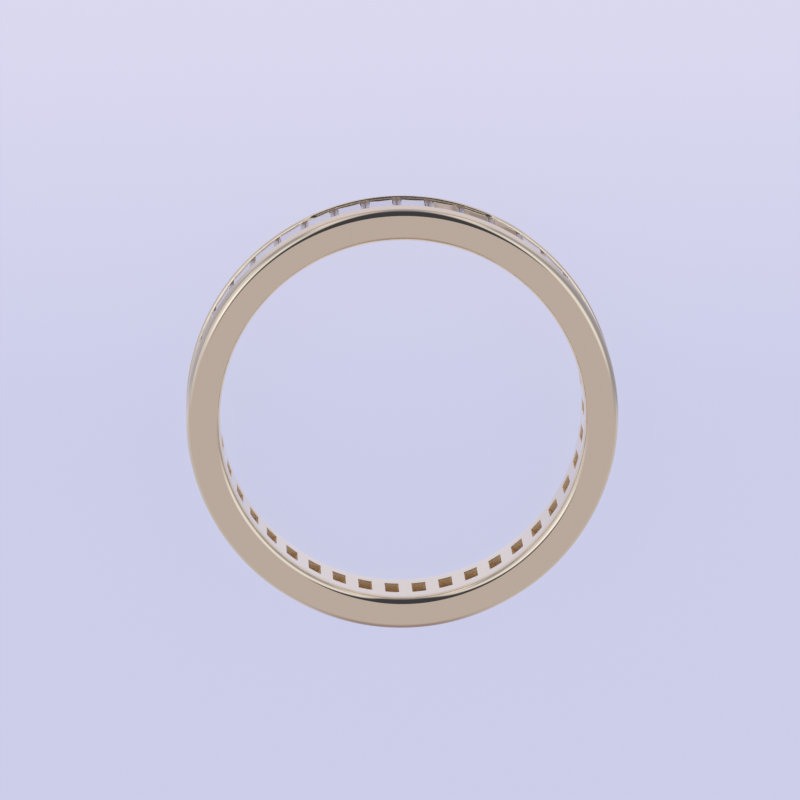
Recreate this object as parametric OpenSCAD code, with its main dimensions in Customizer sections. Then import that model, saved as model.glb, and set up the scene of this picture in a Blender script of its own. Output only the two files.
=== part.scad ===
// Full circle ring: baguette stones laid side by side in a channel between two rails.
// The ring lies on one flat side face, its axis is +Z, and +Y is its top as it is worn.

/* [Band] */
// Inside diameter, the finger size
inner_diameter = 17.3; // [15.7:0.1:19.8]
// Width of the band along the finger
band_width = 3.7; // [3.5:0.1:4.2]
// Thickness from the inside wall to the crest of the rails
band_thickness = 1.62; // [1.56:0.01:1.9]
// Slope of the rail tops from their crest down to the side faces, in degrees
rail_slope = 10; // [2:1:12]
// Radius of the round between a rail top and its side face
outer_round = 0.36; // [0.2:0.01:0.4]
// Radius of the round between the inside wall and a side face
inner_round = 0.35; // [0.1:0.01:0.4]
// Radius of the lip where a rail top meets the channel
lip_round = 0.08; // [0.05:0.01:0.1]

/* [Channel] */
// Clear width between the two rails
channel_width = 2.3; // [2:0.05:2.4]
// Thickness of the floor between the channel and the finger
floor_thickness = 0.45; // [0.3:0.05:0.5]
// Depth of the groove in each rail that holds the ends of the stones
groove_depth = 0.125; // [0.1:0.005:0.15]
// Space between a stone and the walls of its groove
seat_clearance = 0.025; // [0.02:0.005:0.04]
// Size of each window along the finger
window_length = 1.58; // [1.2:0.02:1.8]
// Size of each window round the finger
window_width = 0.65; // [0.4:0.01:0.75]

/* [Stones] */
// Number of stones, each with one window behind it
stone_count = 42; // [40:1:42]
// Turn of the first stone, clockwise from the top of the band, in degrees
first_stone_turn = 3.09; // [0:0.01:8.57]
// Gap between neighbouring stones at their girdles
stone_gap = 0.026; // [0.02:0.002:0.05]
// Depth of the tables below the crest of the rails
table_recess = 0.12; // [0.1:0.005:0.16]
// Height of the crown, from the girdle to the table
crown_height = 0.15; // [0.1:0.01:0.16]
// Slope of the crown facets from the table, in degrees
crown_angle = 37; // [34:1:42]
// Thickness of the girdle
girdle_height = 0.04; // [0.02:0.01:0.05]
// Depth of the pavilion, from the girdle to the keel
pavilion_depth = 0.58; // [0.45:0.01:0.6]
// Share of the pavilion depth taken by its upper, steeper step
pavilion_step = 0.45; // [0.35:0.05:0.55]
// Width of the flat keel
keel_width = 0.05; // [0.03:0.01:0.1]
// Length of the flat keel
keel_length = 1.3; // [1:0.05:1.5]

/* [Hidden] */
$fn = 180;
spare = 1;
inner_r = inner_diameter / 2;
half_band = band_width / 2;
half_channel = channel_width / 2;
// A round's circle stands this far proud of its two edges, so that it crosses them cleanly
proud = 0.0002;

// Depths below the tables of the stones
girdle_top = crown_height;
girdle_foot = girdle_top + girdle_height;
step_depth = girdle_foot + pavilion_step * pavilion_depth;
keel_depth = girdle_foot + pavilion_depth;
table_r = inner_r + band_thickness - table_recess;

stone_pitch = 360 / stone_count;
stone_width = 2 * (table_r - girdle_foot) * tan(stone_pitch / 2) - stone_gap;
stone_length = channel_width + 2 * (groove_depth - seat_clearance);
crown_run = crown_height / tan(crown_angle);
// Share of the way in to the keel at which the upper step of the pavilion ends
step_inset_across = 0.36;
step_inset_along = 0.3;

function stone_name(i) = str("baguette_", i < 10 ? "0" : "", i);
function mix(a, b, share) = a + (b - a) * share;
function unit(v) = v / norm(v);

// One stone's section: minus its depth below the table, then distance to either side
function stone_section(half, half_keel, inset) =
    let (side = [
        [0, half - crown_run],
        [-girdle_top, half],
        [-girdle_foot, half],
        [-step_depth, mix(half, half_keel, inset)],
        [-keel_depth, half_keel],
    ])
    concat(side, [for (i = [len(side) - 1 : -1 : 0]) [side[i][0], -side[i][1]]]);

// What a round of radius r takes off the corner of two edges that lead towards p and q
module corner_waste(corner, p, q, r) {
    to_p = unit(p - corner);
    to_q = unit(q - corner);
    half_angle = acos(to_p * to_q) / 2;
    reach = (r - proud) / tan(half_angle);
    centre = corner + unit(to_p + to_q) * (r - proud) / sin(half_angle);
    // The waste runs out past both edges
    at_p = corner + to_p * reach;
    at_q = corner + to_q * reach;
    difference() {
        polygon([
            centre,
            at_p + unit(at_p - centre) * r,
            corner - unit(to_p + to_q) * 2 * r,
            at_q + unit(at_q - centre) * r,
        ]);
        translate(centre) circle(r);
    }
}

// Upper half of the band's section: height above the inside wall, then above the middle plane
module rail_section() {
    // Sharp corner above the lip, so that the rounded lip peaks at the crest
    lip_peak = band_thickness + lip_round * (tan(rail_slope) + 1 / cos(rail_slope) - 1);
    foot = [0, 0];
    inside = [0, half_band];
    outside = [lip_peak - (half_band - half_channel) * tan(rail_slope), half_band];
    lip = [lip_peak, half_channel];
    channel_foot = [floor_thickness, half_channel];
    difference() {
        polygon([foot, [floor_thickness, 0], channel_foot, lip, outside, inside]);
        corner_waste(inside, foot, outside, inner_round);
        corner_waste(outside, inside, lip, outer_round);
        corner_waste(lip, outside, channel_foot, lip_round);
        translate([table_r - inner_r, half_channel]) groove_section();
    }
}

// Groove for the ends of the stones: minus the depth below the tables, then depth into the rail
module groove_section() {
    end_reach = groove_depth - seat_clearance;
    half_length = stone_length / 2;
    end_slope = (step_depth - girdle_foot) / (step_inset_along * (half_length - keel_length / 2));
    // The corners of a flat stone stand farther out than its middle
    girdle_top_r = table_r - girdle_top;
    corner_rise = norm([girdle_top_r, stone_width / 2]) - girdle_top_r;
    roof = -girdle_top + corner_rise + seat_clearance;
    roof_mouth = roof + end_reach * tan(crown_angle);
    floor_mouth = -girdle_foot - end_reach * end_slope - 2 * seat_clearance;
    polygon([
        [-girdle_foot - seat_clearance, groove_depth],
        [roof, groove_depth],
        [roof_mouth, 0],
        [roof_mouth, -seat_clearance],
        [floor_mouth, -seat_clearance],
        [floor_mouth, 0],
    ]);
}

module windows() {
    for (i = [1 : stone_count])
        rotate(stone_bearing(i))
            translate([inner_r + floor_thickness / 2, 0, 0])
                cube([floor_thickness + spare, window_width, window_length], center = true);
}

// Clockwise turn from +Y, as the angle that rotate() takes
function stone_bearing(i) = 90 - first_stone_turn - (i - 1) * stone_pitch;

module band() {
    color([0.85, 0.72, 0.5])
        translate([0, 0, half_band])
            difference() {
                rotate_extrude()
                    translate([inner_r, 0]) {
                        rail_section();
                        mirror([0, 1]) rail_section();
                    }
                windows();
            }
}

module baguette(i) {
    color([0.93, 0.94, 0.98])
        translate([0, 0, half_band])
            rotate(stone_bearing(i))
                translate([table_r, 0, 0])
                    intersection() {
                        linear_extrude(stone_length + spare, center = true)
                            polygon(stone_section(stone_width / 2, keel_width / 2, step_inset_across));
                        rotate([90, 0, 0])
                            linear_extrude(stone_width + spare, center = true)
                                polygon(stone_section(stone_length / 2, keel_length / 2, step_inset_along));
                    }
}

band();
for (i = [1 : stone_count])
    baguette(i);
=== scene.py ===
# %% [markdown]
# A channel set band, dressed for its portrait. The real ring is one casting of pale yellow
# gold, polished like a mirror, with a full circle of baguette stones held between two rails.
# The solids of the ring come first, at their real size in metres. Everything after that only
# gives them their finish, so nothing here moves or resizes them.

# %% Load the solids
from math import asin, atan2, cos, degrees, hypot, pi, radians, sin, tan

import bmesh
import bpy
from mathutils import Matrix, Vector


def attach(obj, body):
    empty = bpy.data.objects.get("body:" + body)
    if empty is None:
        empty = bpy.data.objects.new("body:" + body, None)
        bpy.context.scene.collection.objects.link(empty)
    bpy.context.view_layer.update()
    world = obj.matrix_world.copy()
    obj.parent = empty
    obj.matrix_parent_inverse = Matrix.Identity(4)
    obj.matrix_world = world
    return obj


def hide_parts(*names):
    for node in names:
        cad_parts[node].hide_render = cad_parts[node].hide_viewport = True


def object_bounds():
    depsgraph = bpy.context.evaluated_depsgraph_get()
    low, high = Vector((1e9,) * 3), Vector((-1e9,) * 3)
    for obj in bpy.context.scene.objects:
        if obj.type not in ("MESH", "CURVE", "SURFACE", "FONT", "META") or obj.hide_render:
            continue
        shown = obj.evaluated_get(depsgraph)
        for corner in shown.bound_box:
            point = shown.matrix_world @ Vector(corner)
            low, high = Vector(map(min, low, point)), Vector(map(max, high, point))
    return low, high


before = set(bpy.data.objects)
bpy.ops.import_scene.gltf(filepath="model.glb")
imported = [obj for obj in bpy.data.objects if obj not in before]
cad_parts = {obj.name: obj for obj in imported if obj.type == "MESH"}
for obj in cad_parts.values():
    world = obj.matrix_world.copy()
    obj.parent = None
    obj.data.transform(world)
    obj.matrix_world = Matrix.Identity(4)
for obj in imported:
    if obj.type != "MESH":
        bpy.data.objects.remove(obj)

MM = 0.001
solid_box = [list(corner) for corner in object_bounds()]
stones = [node for name, node in sorted(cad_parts.items()) if name.startswith("baguette")]
print("stones:", len(stones), "box in mm:", [[round(v / MM, 2) for v in c] for c in solid_box])

# %% [markdown]
# The ring lies on its side face with its axis upright, as a ring does by itself. The
# photograph looks nearly along that axis, from about 13 degrees to one side of it, with the
# top of the ring as it is worn towards +Y. So the camera hangs almost straight above, and its
# picture's upward direction is the ring's +Y. A long lens far away keeps the two faces of the
# band almost the same size. The angles and the distance were fitted to the ring's outlines.

# %% Camera
PITCH = radians(13.0)
YAW = radians(1.73)
DISTANCE = 281.8 * MM
LENS_IN_PIXELS = 5915
PICTURE_PIXELS = 800
SENSOR_WIDTH = 36
CLIP_START, CLIP_END = 0.01, 10
# Where the middle of the ring falls in the picture, right of and below the picture's middle
RIGHT_PIXELS, BELOW_PIXELS = 1.6, 12.05

ring_middle = Vector((0, 0, solid_box[1][2] / 2))
to_right = Vector((cos(YAW), 0, sin(YAW)))
to_top = Vector((sin(PITCH) * sin(YAW), cos(PITCH), -sin(PITCH) * cos(YAW)))
to_camera = to_right.cross(to_top)

camera_data = bpy.data.cameras.new("portrait_camera")
camera_data.sensor_width = SENSOR_WIDTH
camera_data.lens = LENS_IN_PIXELS / PICTURE_PIXELS * SENSOR_WIDTH
camera_data.clip_start = CLIP_START
camera_data.clip_end = CLIP_END
camera = bpy.data.objects.new("portrait_camera", camera_data)
bpy.context.collection.objects.link(camera)

camera_place = ring_middle + to_camera * DISTANCE
pixel_at_ring = DISTANCE / LENS_IN_PIXELS
aim = ring_middle + (to_top * BELOW_PIXELS - to_right * RIGHT_PIXELS) * pixel_at_ring
back = (camera_place - aim).normalized()
side = to_top.cross(back).normalized()
camera.matrix_world = Matrix.Translation(camera_place) @ Matrix(
    (side, back.cross(side), back)
).transposed().to_4x4()
bpy.context.scene.camera = camera
bpy.context.scene.view_settings.view_transform = "Standard"
print("camera at", [round(v / MM, 1) for v in camera_place], "mm, lens", round(camera_data.lens), "mm")

# %% [markdown]
# Modelling works as by hand: edit mode, a selection, one operator. An operator acts on all
# that is selected, and the loaded solids start out selected, so these helpers always clear
# the selection first and then pick vertices, edges or faces by where they are.

# %% Helpers for picking and editing
# Two places closer than this count as the same
NEAR = 0.002 * MM


def deselect_all():
    for thing in bpy.context.selected_objects:
        thing.select_set(False)


def take(thing):
    deselect_all()
    thing.select_set(True)
    bpy.context.view_layer.objects.active = thing


def pick(thing, kind, test):
    """Selects only the vertices, edges or faces whose points all pass the test, and counts them."""
    mesh = bmesh.from_edit_mesh(thing.data)
    bpy.ops.mesh.select_mode(type=kind)
    bpy.ops.mesh.select_all(action="DESELECT")
    found = 0
    for part in {"VERT": mesh.verts, "EDGE": mesh.edges, "FACE": mesh.faces}[kind]:
        points = [part.co] if kind == "VERT" else [v.co for v in part.verts]
        if all(test(p) for p in points):
            part.select_set(True)
            found += 1
    mesh.select_flush_mode()
    bmesh.update_edit_mesh(thing.data)
    return found


def near(a, b):
    return abs(a - b) < NEAR


print("selected after loading:", len(bpy.context.selected_objects), "objects")

# %% [markdown]
# The band's section is measured from the solids where it can be: the height, the inside
# radius and the crest. The rest repeats the sizes that the solids were built from. The
# section is drawn for the upper rail only, with the middle plane of the band at height 0,
# and is mirrored later.

# %% Sizes of the band, in metres
HALF_BAND = ring_middle.z
CREST = max(hypot(v.co.x, v.co.y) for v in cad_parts["band"].data.vertices)
INSIDE = min(hypot(v.co.x, v.co.y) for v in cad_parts["band"].data.vertices)
HALF_CHANNEL = 1.15 * MM
FLOOR = INSIDE + 0.45 * MM
RAIL_SLOPE = radians(10)
OUTER_ROUND, INNER_ROUND, LIP_ROUND = 0.36 * MM, 0.35 * MM, 0.08 * MM
# Half of a window's size along the finger, and its whole size round the finger
HALF_WINDOW, WINDOW_WIDTH = 0.79 * MM, 0.65 * MM
PITCH_ANGLE = 2 * pi / len(stones)
WINDOW_ANGLE = 2 * asin(WINDOW_WIDTH / 2 / INSIDE)
LIP_PEAK = CREST + LIP_ROUND * (tan(RAIL_SLOPE) + 1 / cos(RAIL_SLOPE) - 1)
SIDE_CORNER = LIP_PEAK - (HALF_BAND - HALF_CHANNEL) * tan(RAIL_SLOPE)
# The groove that holds the stones' ends: radius and height of its four corners
GROOVE_MM = ((9.765, 1.150), (9.935, 1.275), (10.052, 1.275), (10.127, 1.150))
GROOVE = [(radius * MM, height * MM) for radius, height in GROOVE_MM]
print("band: inside", round(INSIDE / MM, 3), "crest", round(CREST / MM, 3), "mm")

# %% [markdown]
# The section starts as a plane, the block of one rail. Its outer corner is lowered for the
# slope of the rail top, its inner edge is divided for the groove and the floor of the
# channel, and the floor is pulled out of it towards the middle plane.

# %% Draw the section of one rail
def start_section():
    deselect_all()
    bpy.ops.mesh.primitive_plane_add(
        size=1,
        location=((INSIDE + LIP_PEAK) / 2, 0, (HALF_CHANNEL + HALF_BAND) / 2),
        rotation=(pi / 2, 0, 0),
    )
    section = bpy.context.object
    section.name = section.data.name = "channel_band"
    section.scale = (LIP_PEAK - INSIDE, HALF_BAND - HALF_CHANNEL, 1)
    bpy.ops.object.transform_apply(location=True, rotation=True, scale=True)
    return section


def in_floor(p):
    return p.x < FLOOR + NEAR


band = start_section()
take(band)
bpy.ops.object.mode_set(mode="EDIT")
pick(band, "VERT", lambda p: near(p.x, LIP_PEAK) and near(p.z, HALF_BAND))
bpy.ops.transform.translate(value=(SIDE_CORNER - LIP_PEAK, 0, 0))

corners = [(FLOOR, HALF_CHANNEL)] + GROOVE
pick(band, "EDGE", lambda p: near(p.z, HALF_CHANNEL))
bpy.ops.mesh.subdivide(number_cuts=len(corners))
section_mesh = bmesh.from_edit_mesh(band.data)
channel_side = [v for v in section_mesh.verts if near(v.co.z, HALF_CHANNEL)]
channel_side.sort(key=lambda v: v.co.x)
for vertex, (radius, height) in zip(channel_side[1:-1], corners):
    vertex.co = (radius, 0, height)
bmesh.update_edit_mesh(band.data)

for edge, lower in ((HALF_CHANNEL, HALF_WINDOW), (HALF_WINDOW, 0)):
    pick(band, "EDGE", lambda p: near(p.z, edge) and in_floor(p))
    bpy.ops.mesh.extrude_edges_move(TRANSFORM_OT_translate={"value": (0, 0, lower - edge)})
print("section:", len(bmesh.from_edit_mesh(band.data).verts), "points")

# %% [markdown]
# The corners are rounded while the section is still flat, because a corner of a flat face
# bevels into an exact arc. The cut starts where the arc leaves the edge, which on a square
# corner is its radius, and elsewhere the radius over the tangent of half the corner's angle.
# Then the faces and the lines across the floor go, so that only the outline is left, and the
# outline of the upper rail is mirrored into the lower one.

# %% Round the section's corners
def round_corner(radius, height, arc_radius, corner_angle, steps):
    pick(band, "VERT", lambda p: near(p.x, radius) and near(p.z, height))
    bpy.ops.mesh.bevel(
        affect="VERTICES",
        offset=arc_radius / tan(corner_angle / 2),
        segments=steps,
        profile=0.5,
    )


round_corner(INSIDE, HALF_BAND, INNER_ROUND, pi / 2, 10)
round_corner(SIDE_CORNER, HALF_BAND, OUTER_ROUND, pi / 2 + RAIL_SLOPE, 14)
round_corner(LIP_PEAK, HALF_CHANNEL, LIP_ROUND, pi / 2 - RAIL_SLOPE, 6)

pick(band, "FACE", lambda p: True)
bpy.ops.mesh.delete(type="ONLY_FACE")
for height in (HALF_WINDOW, HALF_CHANNEL, 0):
    if pick(band, "EDGE", lambda p: near(p.z, height) and in_floor(p)):
        bpy.ops.mesh.delete(type="EDGE")
bpy.ops.mesh.select_all(action="SELECT")
bpy.ops.mesh.symmetrize(direction="POSITIVE_Z")
print("rounded and mirrored:", len(bmesh.from_edit_mesh(band.data).verts), "points")

# %% [markdown]
# The ring repeats itself 42 times, once for each stone, so only one wedge of it is modelled.
# Spin carries the section round the axis, first over plain wall, then over the width of one
# window, then over plain wall again. Each spin leaves its last section selected, ready for
# the next. The short steps keep the mirror finish free of corners.

# %% Spin one wedge of the band
SPIN = {"center": (0, 0, 0), "axis": (0, 0, 1)}
PLAIN_ANGLE = (PITCH_ANGLE - WINDOW_ANGLE) / 2
PLAIN_STEPS, WINDOW_STEPS = 4, 6
PLAIN_WALL, WINDOW_WALL = (PLAIN_ANGLE, PLAIN_STEPS), (WINDOW_ANGLE, WINDOW_STEPS)
bpy.ops.mesh.select_all(action="SELECT")
for angle, steps in (PLAIN_WALL, WINDOW_WALL, PLAIN_WALL):
    bpy.ops.mesh.spin(steps=steps, angle=angle, **SPIN)

wedge = bmesh.from_edit_mesh(band.data)
bearings = [atan2(v.co.y, v.co.x) for v in wedge.verts]
window_bearing = (min(bearings) + max(bearings)) / 2
print("wedge:", len(wedge.faces), "faces, window at", round(degrees(window_bearing), 2), "degrees")

# %% [markdown]
# Behind every stone the inside wall is pierced by a small window, which lets light in and
# saves weight. On the bench it is sawn out. Here the faces over it are deleted from both
# skins of the floor, the two open rims are bridged, and the rim that faces the finger gets
# the tiny bevel that polishing gives it.

# %% Cut the window
WINDOW_BEVEL = 0.02 * MM
NEAR_ANGLE = 0.0002


def on_skin(p, radius):
    return near(hypot(p.x, p.y), radius)


def in_window(p):
    off = abs(atan2(p.y, p.x) - window_bearing)
    return abs(p.z) < HALF_WINDOW + NEAR and off < WINDOW_ANGLE / 2 + NEAR_ANGLE


for radius in (INSIDE, FLOOR):
    cut = pick(band, "FACE", lambda p: on_skin(p, radius) and in_window(p))
    bpy.ops.mesh.delete(type="FACE")
rims = pick(band, "EDGE", lambda p: in_window(p) and (on_skin(p, INSIDE) or on_skin(p, FLOOR)))
bpy.ops.mesh.bridge_edge_loops()
bpy.ops.mesh.select_all(action="SELECT")
bpy.ops.mesh.normals_make_consistent(inside=False)
pick(band, "EDGE", lambda p: in_window(p) and on_skin(p, INSIDE))
bpy.ops.mesh.bevel(offset=WINDOW_BEVEL, segments=2, profile=0.5)
print("window:", cut, "faces cut from each skin,", rims, "rim edges bridged")

# %% [markdown]
# The finished wedge is copied round the ring with the spin operator's copying mode, and the
# seams are merged. The whole ring is then turned so that each window lies behind its stone,
# which the first stone's own place gives, and lifted to lie on the floor.

# %% Copy the wedge round the ring
# Points closer than this at the seams become one
SEAM = 0.0004 * MM

bpy.ops.mesh.select_all(action="SELECT")
copies = len(stones) - 1
bpy.ops.mesh.spin(steps=copies, dupli=True, angle=copies * PITCH_ANGLE, **SPIN)
bpy.ops.mesh.select_all(action="SELECT")
bpy.ops.mesh.remove_doubles(threshold=SEAM)
bpy.ops.mesh.normals_make_consistent(inside=False)
bpy.ops.object.mode_set(mode="OBJECT")


def middle(node):
    return sum((v.co for v in node.data.vertices), Vector()) / len(node.data.vertices)


first_stone = middle(stones[0])
band.rotation_euler.z = atan2(first_stone.y, first_stone.x) - window_bearing
band.location.z = HALF_BAND
take(band)
bpy.ops.object.transform_apply(location=True, rotation=True, scale=True)
print("band:", len(band.data.polygons), "faces")

# %% [markdown]
# Smooth shading would blend the wide flat side faces into the small rounds beside them, and a
# mirror finish shows that at once. The normals are therefore weighted by the size of the
# faces: the flats stay flat, and the rounds take up the whole turn.

# %% Shade the band
take(band)
bpy.ops.object.shade_smooth_by_angle(angle=radians(30))
bpy.ops.object.modifier_add(type="WEIGHTED_NORMAL")
weighting = band.modifiers[-1]
weighting.weight = 100
weighting.keep_sharp = True
bpy.ops.object.modifier_apply(modifier=weighting.name)
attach(band, "root")
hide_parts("band")
print("smooth band with weighted normals:", band.data.has_custom_normals)

# %% [markdown]
# Finishes are written as sums. The small class below stands for one output socket, and its
# operators add the Math nodes, so that 1 - mask means what it says. Every other node comes
# from one method, which takes the node's type, its settings and what goes into its sockets.
# A soft step is the tool used most: it goes from one value to another while something else,
# such as a height or an angle, goes from a start to an end.

# %% Helpers for finishes
class Output:
    """One output socket, as a number in a sum."""

    def __init__(self, nodes, socket):
        self.nodes, self.socket = nodes, socket

    def __add__(self, other):
        return self.nodes.math("ADD", self, other)

    def __sub__(self, other):
        return self.nodes.math("SUBTRACT", self, other)

    def __rsub__(self, other):
        return self.nodes.math("SUBTRACT", other, self)

    def __mul__(self, other):
        return self.nodes.math("MULTIPLY", self, other)

    def __truediv__(self, other):
        return self.nodes.math("DIVIDE", self, other)

    def __pow__(self, other):
        return self.nodes.math("POWER", self, other)

    def __abs__(self):
        return self.nodes.math("ABSOLUTE", self)

    __radd__, __rmul__ = __add__, __mul__


class Nodes:
    """The node tree of one material or world."""

    def __init__(self, owner):
        owner.use_nodes = True
        self.tree = owner.node_tree
        self.tree.nodes.clear()

    def add(self, kind, settings=None, inputs=None, output=0):
        """Adds a node, sets it up, fills or links its inputs and returns one of its outputs."""
        node = self.tree.nodes.new(kind)
        for name, value in (settings or {}).items():
            setattr(node, name, value)
        for name, value in (inputs or {}).items():
            if isinstance(value, Output):
                self.tree.links.new(value.socket, node.inputs[name])
            else:
                node.inputs[name].default_value = value
        return Output(self, node.outputs[output]) if node.outputs else node

    def math(self, operation, first, second=0.0):
        return self.add("ShaderNodeMath", {"operation": operation}, {0: first, 1: second})

    def step(self, value, start, end, low=0.0, high=1.0):
        """Goes smoothly from low to high while the value goes from start to end."""
        return self.add(
            "ShaderNodeMapRange",
            {"interpolation_type": "SMOOTHSTEP"},
            {"Value": value, "From Min": start, "From Max": end, "To Min": low, "To Max": high},
        )

    def turn_step(self, angle, start, end, low=0.0, high=1.0):
        """The same for an angle, with its start and end in degrees."""
        return self.step(angle, radians(start), radians(end), low, high)

    def blend(self, factor, first, second):
        """The first colour where the factor is 0, the second where it is 1."""
        return self.add(
            "ShaderNodeMix",
            {"data_type": "RGBA"},
            {"Factor": factor, 6: first, 7: second},
            output=2,
        )

    def cloud(self, vector, scale, detail, roughness=0.5):
        """Noise in space, with scale patches or so to each unit of the vector."""
        return self.add(
            "ShaderNodeTexNoise",
            None,
            {"Vector": vector, "Scale": scale, "Detail": detail, "Roughness": roughness},
        )

    def bump(self, height, distance, normal=None):
        """Tilts the surface by a height, over the normal that earlier nodes gave it."""
        inputs = {"Strength": 1.0, "Distance": distance, "Height": height}
        if normal is not None:
            inputs["Normal"] = normal
        return self.add("ShaderNodeBump", None, inputs)

    def split(self, vector):
        """The x, y and z of a vector."""
        first = self.add("ShaderNodeSeparateXYZ", None, {0: vector})
        return [Output(self, socket) for socket in first.socket.node.outputs]


def colour(red, green, blue):
    return (red, green, blue, 1.0)


BLACK = colour(0.0, 0.0, 0.0)
# Most of a noise's values lie between these two
NOISE_SPAN = (0.35, 0.65)
print("helpers ready:", [name for name in vars(Nodes) if not name.startswith("_")])

# %% [markdown]
# Every pattern on the ring follows the ring's own shape, so the finishes read the place on
# its surface: how far it is from the axis, and how far from the middle plane of the band.
# Object coordinates are in metres, and are scaled so that the numbers below are millimetres.

# %% Places on the ring, in millimetres
INSIDE_MM, CREST_MM = INSIDE / MM, CREST / MM
MIDDLE_MM, HALF_CHANNEL_MM = HALF_BAND / MM, HALF_CHANNEL / MM


def ring_place(nodes):
    """The place on the surface as a vector, as x, y and z, and as its distance from the axis."""
    place = nodes.add("ShaderNodeTexCoord", None, None, output="Object")
    place = nodes.add("ShaderNodeVectorMath", {"operation": "SCALE"}, {0: place, "Scale": 1 / MM})
    x, y, z = nodes.split(place)
    return place, x, y, z, (x * x + y * y) ** 0.5


print("middle plane at", round(MIDDLE_MM, 3), "mm, channel", round(2 * HALF_CHANNEL_MM, 3), "mm wide")

# %% [markdown]
# A ring is polished by turning it against a wheel, so what is left of the wheel runs round
# the ring as very fine lines. They are noise that varies quickly across the ring and slowly
# round it. The wheel doesn't reach into the channel, its grooves and the windows. Their walls
# stay as they were cast and sawn: rougher, and streaked along the saw's path.

# %% Marks of wheel and saw
POLISHED_GOLD = colour(0.955, 0.835, 0.60), colour(0.965, 0.825, 0.59)
SAWN_GOLD = colour(0.86, 0.68, 0.44), colour(0.98, 0.80, 0.55)
GROOVE_GOLD = colour(0.84, 0.78, 0.70)
# The grooves begin between these radii, well outside the windows
GROOVE_START_MM = (9.9, 10.0)
# Lines to a millimetre across the ring, how slowly they change round it, and the saw's marks
WHEEL_LINES, WHEEL_LENGTH, SAW_MARKS = 22.0, 3.0, 90.0


def wheel_lines(nodes, x, y, z, radius):
    across = (radius + z) * WHEEL_LINES
    around = nodes.add(
        "ShaderNodeCombineXYZ",
        None,
        {0: x / radius * WHEEL_LENGTH, 1: y / radius * WHEEL_LENGTH},
    )
    return nodes.add(
        "ShaderNodeTexNoise",
        {"noise_dimensions": "4D"},
        {"Vector": around, "W": across, "Scale": 1.0, "Detail": 3.0, "Roughness": 0.6},
    )


def left_unpolished(nodes, off_middle, radius):
    """1 on the walls of the channel, its grooves and the windows, 0 on all that is polished."""
    return (
        nodes.step(radius, INSIDE_MM + 0.02, INSIDE_MM + 0.04)
        * nodes.step(radius, CREST_MM - 0.14, CREST_MM - 0.2)
        * nodes.step(off_middle, HALF_CHANNEL_MM + 0.14, HALF_CHANNEL_MM + 0.13)
    )


def gold_tone(nodes, x, radius, haze, unpolished, in_groove):
    saw_marks = nodes.add(
        "ShaderNodeTexNoise",
        {"noise_dimensions": "1D"},
        {"W": x / radius * SAW_MARKS, "Scale": 1.0, "Detail": 2.0},
    )
    rough_gold = nodes.blend(saw_marks, *SAWN_GOLD)
    rough_gold = nodes.blend(in_groove, rough_gold, GROOVE_GOLD)
    polished_gold = nodes.blend(nodes.step(haze, *NOISE_SPAN), *POLISHED_GOLD)
    return nodes.blend(unpolished, polished_gold, rough_gold)


print("grooves from radius", GROOVE_START_MM[0], "mm, inside wall at", round(INSIDE_MM, 3), "mm")

# %% [markdown]
# Two edges of a hand finished ring are never quite even. The edge of each rail over the
# stones is hammered down to hold them, which leaves it leaning back, with the marks of single
# blows. And the round between the inside wall and the side face was filed freehand, so at the
# foot of the ring it faces a little sideways. Both are too slight to change the outline, so
# they are tilts of the surface: a bump for the first, a turn of the normal for the second.

# %% Uneven edges
# How far the pressed edge reaches over the rail from the channel, and down from the crest
EDGE_REACH_MM, EDGE_DEPTH_MM = 0.1, 0.5
LEAN, DEEPEST_LEAN_MM, BLOW_DEPTH_MM = 0.45, 0.25, 0.01
# Heights on the ring, in millimetres, between which the lean ends: above them it is upright
LEAN_END = (9.35, 9.15)

# Turns of the filed round, in radians, and the places in millimetres between which they fade
TURN_LEFT, TURN_RIGHT = -0.22, 0.17
LEFT_FADE, RIGHT_FADE = (-2.1, 0.0), (0.3, 2.7)
SIDE_END, UPPER_END = (7.2, 4.8), (-4.0, -6.0)
ROUND_START, WALL_END, FACE_END = (1.5, 1.62), (8.72, 8.84), (9.6, 9.3)


def pressed_edge(nodes, place, y, off_middle, radius):
    """The height that leans back the edge over the stones, with the hammer's blows in it."""
    below_crest = nodes.math("MINIMUM", CREST_MM - radius, DEEPEST_LEAN_MM)
    near_channel = (
        nodes.step(off_middle, HALF_CHANNEL_MM + EDGE_REACH_MM, HALF_CHANNEL_MM + 0.05)
        * nodes.step(radius, CREST_MM - EDGE_DEPTH_MM, CREST_MM - 0.3)
    )
    blows = nodes.cloud(place, 2.5, 1.0)
    lean = nodes.step(y, *LEAN_END) * LEAN
    return (below_crest * lean + blows * BLOW_DEPTH_MM) * near_channel


def filed_normal(nodes, x, y, off_middle, radius):
    """The surface's normal, turned about the ring's axis on the inner round at the foot."""
    left_of_foot = nodes.step(x, *LEFT_FADE, TURN_LEFT, 0.0)
    right_of_foot = nodes.step(x, *RIGHT_FADE, 0.0, TURN_RIGHT)
    turn = (
        (left_of_foot + right_of_foot)
        * nodes.step(abs(x), *SIDE_END)
        * nodes.step(off_middle, *ROUND_START)
        * nodes.step(radius, *WALL_END)
        * nodes.step(radius, *FACE_END)
        * nodes.step(y, *UPPER_END)
    )
    normal = nodes.add("ShaderNodeNewGeometry", None, None, output="Normal")
    return nodes.add(
        "ShaderNodeVectorRotate", {"rotation_type": "Z_AXIS"}, {"Vector": normal, "Angle": turn}
    )


print("pressed edge:", EDGE_REACH_MM, "mm over the rail,", EDGE_DEPTH_MM, "mm down from the crest")

# %% [markdown]
# Fourteen carat yellow gold is paler than pure gold. On a metal the base colour tints what is
# mirrored, and at a flat angle the tint fades to white, which the metallic shader does by
# itself. A broad noise gives the slight waves that hand polishing leaves, and a finer one the
# haze of a ring that has been touched. Real stones also pass light on to the gold round them.
# A picture can't follow all of that light, so the unpolished walls get a faint glow instead.

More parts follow.
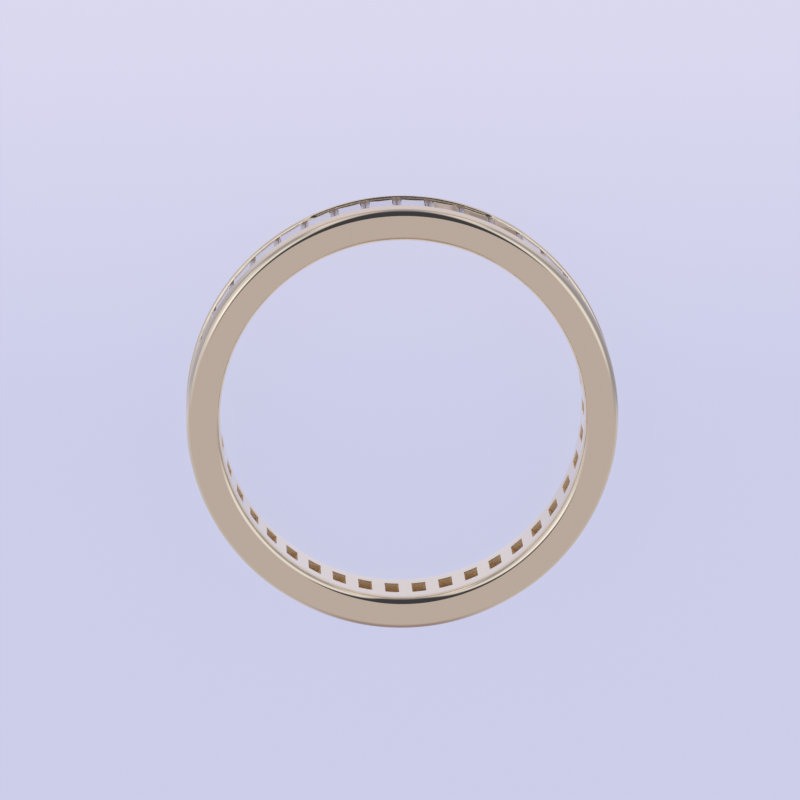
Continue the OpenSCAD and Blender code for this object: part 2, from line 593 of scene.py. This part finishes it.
# %% Polished yellow gold
LINE_HEIGHT, WAVE_HEIGHT = 0.00002 * MM, 0.0006 * MM
WINDOW_GLOW, GROOVE_GLOW = colour(0.030, 0.014, 0.001), colour(0.10, 0.07, 0.052)
SHINE, DULL, SAWN_ROUGHNESS = 0.05, 0.09, 0.45
# Patches to a millimetre
WAVE_SCALE, HAZE_SCALE = 0.8, 3.0


def gold_finish():
    material = bpy.data.materials.new("polished_yellow_gold")
    nodes = Nodes(material)
    place, x, y, z, radius = ring_place(nodes)
    off_middle = abs(z - MIDDLE_MM)
    lines = wheel_lines(nodes, x, y, z, radius)
    waves = nodes.cloud(place, WAVE_SCALE, 2.0)
    haze = nodes.cloud(place, HAZE_SCALE, 4.0, 0.6)
    unpolished = left_unpolished(nodes, off_middle, radius)
    in_groove = nodes.step(radius, *GROOVE_START_MM)
    gloss = nodes.step(haze * 0.5 + lines * 0.5, *NOISE_SPAN, SHINE, DULL)
    glow = nodes.blend(in_groove, WINDOW_GLOW, GROOVE_GLOW)

    normal = filed_normal(nodes, x, y, off_middle, radius)
    normal = nodes.bump(lines, LINE_HEIGHT, normal)
    normal = nodes.bump(waves, WAVE_HEIGHT, normal)
    normal = nodes.bump(pressed_edge(nodes, place, y, off_middle, radius), MM, normal)
    shader = nodes.add(
        "ShaderNodeBsdfPrincipled",
        None,
        {
            "Base Color": gold_tone(nodes, x, radius, haze, unpolished, in_groove),
            "Metallic": 1.0,
            "Roughness": gloss + unpolished * SAWN_ROUGHNESS,
            "Emission Color": nodes.blend(unpolished, BLACK, glow),
            "Emission Strength": 1.0,
            "Normal": normal,
        },
    )
    nodes.add("ShaderNodeOutputMaterial", None, {"Surface": shader})
    return material


band.data.materials.clear()
band.data.materials.append(gold_finish())
print("gold on:", band.name)

# %% [markdown]
# The baguettes are colourless step cut stones, clear glass with the high refractive index of
# diamond. A good stone throws most of the light that enters it back out through its table.
# That takes more inner reflections than a picture can follow, so part of it is given to the
# facets themselves: the tables mirror silvery white, and the pavilion behind them carries a
# painted reflection of the warm gold it sits in, as its base colour. The narrow slopes of the
# crown scatter the light of many small
# reflections, so they are duller and part milky. The lap that cuts a facet leaves lines too
# fine to see one by one, which show as a slight unevenness in the gloss.

# %% Clear stone
SILVERY = colour(0.97, 0.96, 1.0), colour(1.0, 0.97, 0.98)
# Painted reflection: the pavilion's warm base colour stands in for the gold it would mirror
PAINTED_GOLD_REFLECTION = colour(0.80, 0.66, 0.50)
MILKY = colour(0.74, 0.67, 0.66)
MILKY_SHARE = 0.55
DIAMOND_IOR = 2.42
LAP_SCALE, LAP_HEIGHT = 6.0, 0.0003 * MM
FACET_GLOSS, DULLER_SLOPE = (0.03, 0.07), 0.28
# How much of a mirror the pavilion and the crown are
MIRROR_SHARE = (0.4, 0.75)
# Radii, in millimetres, between which the crown and the table begin
CROWN_START, TABLE_START = (9.93, 10.0), (10.13, 10.148)


def stone_finish():
    material = bpy.data.materials.new("clear_diamond")
    nodes = Nodes(material)
    place, _, _, _, radius = ring_place(nodes)
    grain = nodes.cloud(place, LAP_SCALE, 3.0, 0.55)
    crown = nodes.step(radius, *CROWN_START)
    below_table = 1.0 - nodes.step(radius, *TABLE_START)
    gloss = nodes.step(grain, *NOISE_SPAN, *FACET_GLOSS)
    white = nodes.blend(nodes.step(grain, 0.4, 0.6), *SILVERY)
    shader = nodes.add(
        "ShaderNodeBsdfPrincipled",
        None,
        {
            # The pavilion's colour is a painted warm reflection of the gold, the crown's is silvery
            # white
            "Base Color": nodes.blend(crown, PAINTED_GOLD_REFLECTION, white),
            "Metallic": nodes.step(crown, 0.0, 1.0, *MIRROR_SHARE),
            "Roughness": gloss + below_table * DULLER_SLOPE,
            "IOR": DIAMOND_IOR,
            "Transmission Weight": 1.0,
            "Normal": nodes.bump(grain, LAP_HEIGHT),
        },
    )
    bloom = nodes.add("ShaderNodeBsdfDiffuse", None, {"Color": MILKY})
    milky = crown * below_table * MILKY_SHARE
    both = nodes.add("ShaderNodeMixShader", None, {0: milky, 1: shader, 2: bloom})
    nodes.add("ShaderNodeOutputMaterial", None, {"Surface": both})
    return material


clear_stone = stone_finish()
for stone in stones:
    for slot in stone.material_slots:
        slot.material = clear_stone
print("clear stone on:", len(stones), "baguettes")

# %% [markdown]
# A polished ring is only as good as what it mirrors, so the light is planned by direction, as
# a jeweller's photographer sets cards and panels round a piece. Directions are told by their
# bearing, from -90 degrees at the foot of the ring over 0 at its sides to 90 at its top, and
# by their height above the horizon. The left side of the room is not quite like the right,
# so its panel hangs higher, which draws its pale line farther in.

# %% Panels beside the ring
# How much farther the pieces on the left are lifted, and turned towards the ring's top
PANEL_LIFT, LOW_PANEL_LIFT = radians(8), radians(6)
PANEL_TURN, SKIRT_TURN = radians(5), radians(4)
# Bearings and heights, in degrees, between which each piece fades in or out
PANEL_FRONT, PANEL_FOOT, PANEL_TOP = (-9, 7), (14, 42), (70, 50)
LAMP_FRONT, LAMP_BACK = (2, 16), (36, 20)
SKIRT_FRONT, SKIRT_BACK, SKIRT_TOP = (-18, -2), (66, 56), (40, 20)
LOW_FRONT, LOW_BACK, LOW_TOP = (56, 66), (82, 66), (36, 18)
LOW_BACK_SHARE = 0.2
# The front of the right panel hangs lower than the rest of it
LOWER_FRONT, LOWER_BY = (36, 24), radians(6)


def side_panel(nodes, left, bearing, lifted):
    """The bright panel on either side, which draws the cream line along the rail."""
    lower = (1.0 - left) * nodes.turn_step(bearing, *LOWER_FRONT) * LOWER_BY
    return (
        nodes.turn_step(bearing - left * PANEL_TURN, *PANEL_FRONT)
        * nodes.turn_step(lifted + lower, *PANEL_FOOT)
        * nodes.turn_step(lifted, *PANEL_TOP)
    )


def lamp(nodes, left, bearing):
    """The brighter middle of the left panel."""
    return left * nodes.turn_step(bearing, *LAMP_FRONT) * nodes.turn_step(bearing, *LAMP_BACK)


def skirt(nodes, left, bearing, lifted):
    """What hangs below each panel."""
    return (
        nodes.turn_step(bearing - left * SKIRT_TURN, *SKIRT_FRONT)
        * nodes.turn_step(bearing, *SKIRT_BACK)
        * nodes.turn_step(lifted, *SKIRT_TOP)
    )


def low_panel(nodes, left, bearing, height):
    """The pale panel near the horizon, between a side panel and the top of the ring."""
    return (
        nodes.turn_step(bearing, *LOW_FRONT)
        * nodes.turn_step(bearing, *LOW_BACK, LOW_BACK_SHARE, 1.0)
        * nodes.turn_step(height - left * LOW_PANEL_LIFT, *LOW_TOP)
    )


print("left panel lifted by", round(degrees(PANEL_LIFT)), "degrees")

# %% [markdown]
# Overhead hangs a soft grey, which fills the side face. Towards the top of the ring, from
# just behind the zenith down, hangs one black card. It draws the dark line along the edge of
# the face, widest at the top of the ring, and once more inside at the foot. The card is
# narrower towards its lower end and fades into a glow there, so the line ends in a soft edge.
# All of this is only for what the ring mirrors. A Light Path node lets the camera itself see
# a plain backdrop instead.

# %% Card, sky and backdrop
SKY = colour(0.505, 0.475, 0.555)
CARD, CARD_END = colour(0.047, 0.052, 0.077), colour(0.42, 0.42, 0.58)
PANEL, LAMP = colour(0.82, 0.84, 1.0), colour(1.04, 1.08, 1.28)
LOW_PANEL = colour(0.75, 0.74, 0.82)
DARK_SKIRT, PALE_SKIRT = colour(0.34, 0.36, 0.45), colour(0.61, 0.63, 0.78)
DIM_END = colour(0.36, 0.29, 0.30)
BACKDROP_FRONT, BACKDROP_BACK = colour(0.60, 0.61, 0.81), colour(0.70, 0.69, 0.87)
# The card's edges, in parts of the way from the zenith to the horizon
CARD_START, CARD_SLANT, CARD_SIDES = 0.08, 0.54, (0.385, 0.225)
CARD_TAPER, CARD_LEFT_WIDER, CARD_RIGHT_WIDER = 0.25, 0.03, 0.09
# Heights and bearings, in degrees, between which each of these fades in
TAPER_HEIGHT, CARD_GLOW, PALE_END = (50, 5), (34, -4), (46, 36)
DIM_BEARING, DIM_HEIGHT = (-64, -84), (40, 4)


def black_card(nodes, x, y, z, left, height):
    across = abs(x)
    behind = y + z * CARD_START - (1.0 - left) * across * CARD_SLANT
    beside = across + nodes.turn_step(height, *TAPER_HEIGHT, 0.0, CARD_TAPER)
    beside = beside - nodes.step(x, -0.1, 0.1, CARD_LEFT_WIDER, CARD_RIGHT_WIDER)
    return nodes.step(behind, -0.02, 0.02) * nodes.step(beside, *CARD_SIDES)


def studio_sky(nodes, x, y, z):
    """What the ring mirrors, each piece laid over the ones before."""
    bearing = nodes.math("ARCTAN2", y, abs(x))
    height = nodes.math("ARCSINE", z)
    left = nodes.step(x, 0.1, -0.1)
    lifted = height - left * PANEL_LIFT
    pale_end = left * nodes.turn_step(bearing, *PALE_END)
    dim = nodes.turn_step(bearing, *DIM_BEARING) * nodes.turn_step(height, *DIM_HEIGHT)

    skirt_colour = nodes.blend(pale_end, DARK_SKIRT, PALE_SKIRT)
    panel_colour = nodes.blend(lamp(nodes, left, bearing), PANEL, LAMP)
    card_colour = nodes.blend(nodes.turn_step(height, *CARD_GLOW), CARD, CARD_END)
    sky = nodes.blend(skirt(nodes, left, bearing, lifted), SKY, skirt_colour)
    sky = nodes.blend(side_panel(nodes, left, bearing, lifted), sky, panel_colour)
    sky = nodes.blend(low_panel(nodes, left, bearing, height), sky, LOW_PANEL)
    sky = nodes.blend(dim, sky, DIM_END)
    return nodes.blend(black_card(nodes, x, y, z, left, height), sky, card_colour)


def studio_world():
    world = bpy.data.worlds.new("studio")
    nodes = Nodes(world)
    x, y, z = nodes.split(nodes.add("ShaderNodeTexCoord", None, None, output="Generated"))
    backdrop = nodes.blend(nodes.step(y, -0.2, 0.2), BACKDROP_FRONT, BACKDROP_BACK)
    seen = nodes.add("ShaderNodeLightPath", None, None, output="Is Camera Ray")
    sky = nodes.blend(seen, studio_sky(nodes, x, y, z), backdrop)
    light = nodes.add("ShaderNodeBackground", None, {"Color": sky, "Strength": 1.0})
    nodes.add("ShaderNodeOutputWorld", None, {"Surface": light})
    return world


bpy.context.scene.world = studio_world()
print("studio:", len(bpy.context.scene.world.node_tree.nodes), "nodes")

# %% [markdown]
# The floor is a wide pale sheet, slightly brighter behind the ring than in front of it. Most
# of its light is its own, as on a light table, so the shadow of the ring stays soft.

# %% Floor
FLOOR_SIZE = 4
FLOOR_GAP = 0.01 * MM
SHEET_FRONT, SHEET_BACK = colour(0.550, 0.560, 0.745), colour(0.655, 0.64, 0.80)
PAPER = colour(0.12, 0.125, 0.14)
# Places, in millimetres, between which the sheet goes from its front to its back colour
SHEET_BLEND = (-4, 24)

deselect_all()
bpy.ops.mesh.primitive_plane_add(size=FLOOR_SIZE, location=(0, 0, -FLOOR_GAP))
floor = bpy.context.object
floor.name = floor.data.name = "pale_floor"
print("floor:", FLOOR_SIZE, "m wide")

# %% [markdown]
# The rails slope towards the floor, so they mirror it. For those mirrored rays the sheet
# carries painted light and shade: a painted brighter patch in the finger hole, painted shade
# beside the ring and dimmer painted shade at its lower sides, a dark brown painted shadow below
# it, and painted shade far out and far behind it. A narrow strip against the upper right of the
# ring is a painted mottled brown reflection, which gives the hammered far rail and the slopes of
# the stones there their brown tone. As with the sky, only the ring mirrors these zones. The camera
# sees the plain sheet.

# %% What the rails mirror of the floor
# Painted light and shade on the sheet, which only the ring's reflections see
PAINTED_LIGHT_IN_HOLE = colour(0.67, 0.68, 0.88)
PAINTED_SHADE_ASIDE = colour(0.485, 0.485, 0.55)
PAINTED_SHADOW_BELOW = colour(0.12, 0.05, 0.04)
# Painted brown reflection, which the far rail and the stones at the upper right mirror
PAINTED_BROWN_REFLECTION = colour(0.31, 0.23, 0.165), colour(0.52, 0.425, 0.37)
MOTTLE_SCALE = 1.2
# Bearings, in degrees, and distances, in millimetres, between which each zone fades in or out
APART, HOLE_EDGE, HOLE_FOOT, OUTER_SHEET = (10.8, 11.8), (9.2, 8.7), (-3.5, -7.5), (20, 60)
BESIDE_FRONT, BESIDE_BACK, LEFT_TO_RIGHT = (-4, 8), (54, 30), (-2, 2)
FAR_DISTANCE, FAR_BEARING, BELOW_BEARING = (14, 24), (20, 40), (-62, -84)
ASIDE_BACK, ASIDE_FRONT = (-2, -14), (-66, -50)
STRIP_START, STRIP_BACK, STRIP_FRONT = (0.0, 0.1), (84, 82), (53, 56)
STRIP_INSIDE, STRIP_OUTSIDE = (10.2, 10.35), (11.0, 10.8)
# How much of each zone shows
LEFT_SHARE, RIGHT_SHARE, OUTER_SHARE, FAR_SHARE, BELOW_SHARE = 0.34, 0.5, 0.4, 0.3, 0.65
RIGHT_TURN = radians(5)


def shaded_sheet(nodes, sheet, x, y, bearing, radius):
    """The sheet with its zones of painted shade and painted light, each blended over the ones before.
    """
    apart = nodes.step(radius, *APART)
    in_hole = nodes.step(radius, *HOLE_EDGE) * nodes.step(y, *HOLE_FOOT)
    far_out = nodes.step(nodes.math("MAXIMUM", abs(x), abs(y)), *OUTER_SHEET, 0.0, OUTER_SHARE)
    beside = (
        nodes.turn_step(bearing + nodes.step(x, *LEFT_TO_RIGHT) * RIGHT_TURN, *BESIDE_FRONT)
        * nodes.turn_step(bearing, *BESIDE_BACK)
        * nodes.step(x, *LEFT_TO_RIGHT, LEFT_SHARE, RIGHT_SHARE)
    )
    far_behind = nodes.step(radius, *FAR_DISTANCE) * nodes.turn_step(bearing, *FAR_BEARING)
    below = nodes.turn_step(bearing, *BELOW_BEARING) * BELOW_SHARE
    aside = nodes.turn_step(bearing, *ASIDE_BACK) * nodes.turn_step(bearing, *ASIDE_FRONT)
    # Painted shade and painted light that the ring mirrors in the sheet
    zones = (
        (in_hole, PAINTED_LIGHT_IN_HOLE),
        (far_out, BLACK),
        (apart * beside, BLACK),
        (far_behind * FAR_SHARE, BLACK),
        (apart * below, PAINTED_SHADOW_BELOW),
        (apart * aside, PAINTED_SHADE_ASIDE),
    )
    for zone, tone in zones:
        sheet = nodes.blend(zone, sheet, tone)
    return sheet


# Where the painted brown reflection lies on the sheet
def painted_reflection_strip(nodes, x, bearing, radius):
    return (
        nodes.step(x, *STRIP_START)
        * nodes.turn_step(bearing, *STRIP_BACK)
        * nodes.turn_step(bearing, *STRIP_FRONT)
        * nodes.step(radius, *STRIP_INSIDE)
        * nodes.step(radius, *STRIP_OUTSIDE)
    )


def floor_finish():
    material = bpy.data.materials.new("pale_paper")
    nodes = Nodes(material)
    place, x, y, _, radius = ring_place(nodes)
    bearing = nodes.math("ARCTAN2", y, abs(x))
    sheet = nodes.blend(nodes.step(y, *SHEET_BLEND), SHEET_FRONT, SHEET_BACK)
    mottled_reflection = nodes.blend(nodes.step(nodes.cloud(place, MOTTLE_SCALE, 1.0), *NOISE_SPAN), *PAINTED_BROWN_REFLECTION)
    mirrored = shaded_sheet(nodes, sheet, x, y, bearing, radius)
    mirrored = nodes.blend(painted_reflection_strip(nodes, x, bearing, radius), mirrored, mottled_reflection)
    seen = nodes.add("ShaderNodeLightPath", None, None, output="Is Camera Ray")
    light = nodes.blend(seen, mirrored, sheet)
    paper = nodes.add("ShaderNodeBsdfDiffuse", None, {"Color": PAPER})
    glow = nodes.add("ShaderNodeEmission", None, {"Color": light, "Strength": 1.0})
    both = nodes.add("ShaderNodeAddShader", None, {0: paper, 1: glow})
    nodes.add("ShaderNodeOutputMaterial", None, {"Surface": both})
    return material


floor.data.materials.append(floor_finish())
print("floor finish:", floor.data.materials[0].name)

# %% [markdown]
# The dressed ring has to stay inside the box of the solids.
